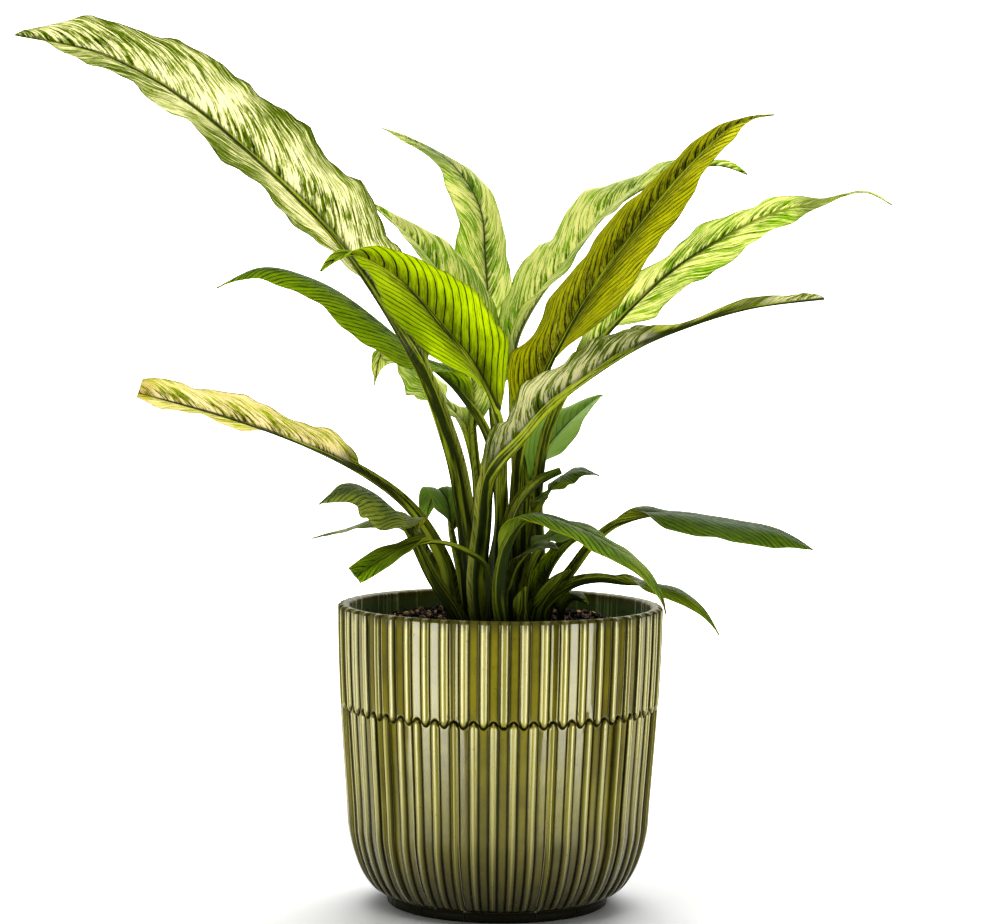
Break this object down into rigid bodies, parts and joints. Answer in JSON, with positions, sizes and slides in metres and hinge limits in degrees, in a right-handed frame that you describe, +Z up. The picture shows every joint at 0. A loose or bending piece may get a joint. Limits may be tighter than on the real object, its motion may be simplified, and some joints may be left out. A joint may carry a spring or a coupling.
{
  "type": "potted peace lily",
  "caption": "Variegated peace lily: arching cream-streaked green leaves rising from a soil mound in a ribbed olive-glazed ceramic pot",
  "frame": {"origin": "middle of the pot's foot, on the surface the pot stands on", "axes": "+Z up through the middle of the pot, front of the plant towards -Y, +X to the right seen from the front"},
  "size_m": [0.3813, 0.2576, 0.3888],
  "materials": {
    "glaze": "glossy olive reactive glaze, pale where it thins over the ribs and near black in the grooves' edges",
    "peat": "loose dark brown peat crumbs, matt",
    "leaf_green": "soft satin green leaf with darker veins, light passing through",
    "leaf_cream": "satin leaf, cream streaked with green along its veins, light passing through"
  },
  "bodies": {
    "root": {"pot": "glaze", "soil": "peat", "leaf_mid_left": "leaf_green", "leaf_arching_centre": "leaf_green", "leaf_broad_right": "leaf_green", "leaf_back_right": "leaf_green", "leaf_outer_right": "leaf_green", "leaf_small_back": "leaf_green", "leaf_folded_left": "leaf_green", "leaf_small_left": "leaf_green", "leaf_thin_left": "leaf_green", "leaf_strap_left": "leaf_green", "leaf_low_front": "leaf_green", "leaf_low_right": "leaf_green", "leaf_low_outer": "leaf_green", "leaf_torn_back": "leaf_green", "stalk_broken": "leaf_green", "leaf_bluish": "leaf_green", "leaf_broad_low": "leaf_green", "leaf_brown_front": "leaf_green", "leaf_short_right": "leaf_green", "sheath_front": "leaf_green", "leaf_rolled_new": "leaf_green", "leaf_tall_left": "leaf_cream", "leaf_front_right": "leaf_cream", "leaf_back_centre": "leaf_cream", "leaf_back_left": "leaf_cream", "leaf_drooping_back": "leaf_cream", "leaf_drying_left": "leaf_cream", "leaf_yellowing": "leaf_cream"}
  },
  "joints": []
}
